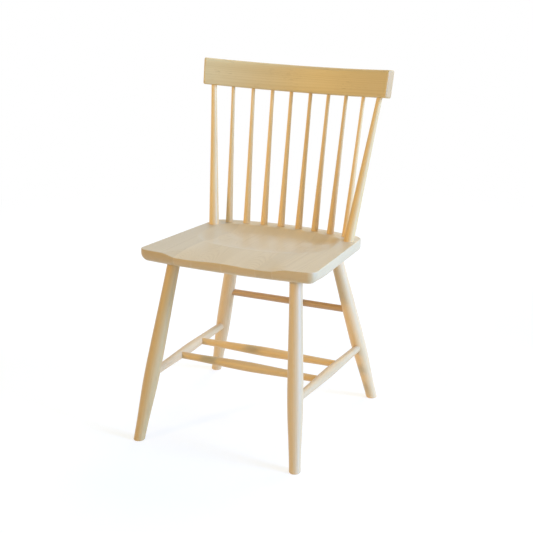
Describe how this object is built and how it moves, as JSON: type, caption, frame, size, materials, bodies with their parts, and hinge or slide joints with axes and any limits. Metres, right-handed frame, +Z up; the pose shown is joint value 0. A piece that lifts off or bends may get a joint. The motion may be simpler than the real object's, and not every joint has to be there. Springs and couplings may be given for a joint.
{
  "type": "spindle-back side chair",
  "caption": "Wooden side chair with a scooped plank seat, splayed turned legs tied by stretchers, and a spindle back under a curved crest rail.",
  "frame": {"origin": "centre of the chair's bounding box, at floor level", "axes": "+Z up; +Y towards the back of the chair; +X towards the right of a viewer who faces its front; the chair is mirrored about X = 0"},
  "size_m": [0.504, 0.5422, 0.8425],
  "materials": {
    "seat_boards": "pale maple under a thin satin finish",
    "crest_rail": "pale maple under a thin satin finish",
    "legs": "pale maple under a thin satin finish",
    "stretchers": "pale maple under a thin satin finish",
    "back_sticks": "pale maple under a thin satin finish"
  },
  "bodies": {
    "root": {"seat_board_1": "seat_boards", "seat_board_2": "seat_boards", "seat_board_3": "seat_boards", "seat_board_4": "seat_boards", "seat_board_5": "seat_boards", "seat_board_6": "seat_boards", "leg_front_left": "legs", "leg_front_right": "legs", "leg_rear_left": "legs", "leg_rear_right": "legs", "side_stretcher_left": "stretchers", "side_stretcher_right": "stretchers", "cross_stretcher_front": "stretchers", "cross_stretcher_rear": "stretchers", "rear_stretcher": "stretchers", "back_post_left": "back_sticks", "back_post_right": "back_sticks", "spindle_1": "back_sticks", "spindle_2": "back_sticks", "spindle_3": "back_sticks", "spindle_4": "back_sticks", "spindle_5": "back_sticks", "spindle_6": "back_sticks", "spindle_7": "back_sticks", "spindle_8": "back_sticks", "crest_rail": "crest_rail"}
  },
  "joints": []
}
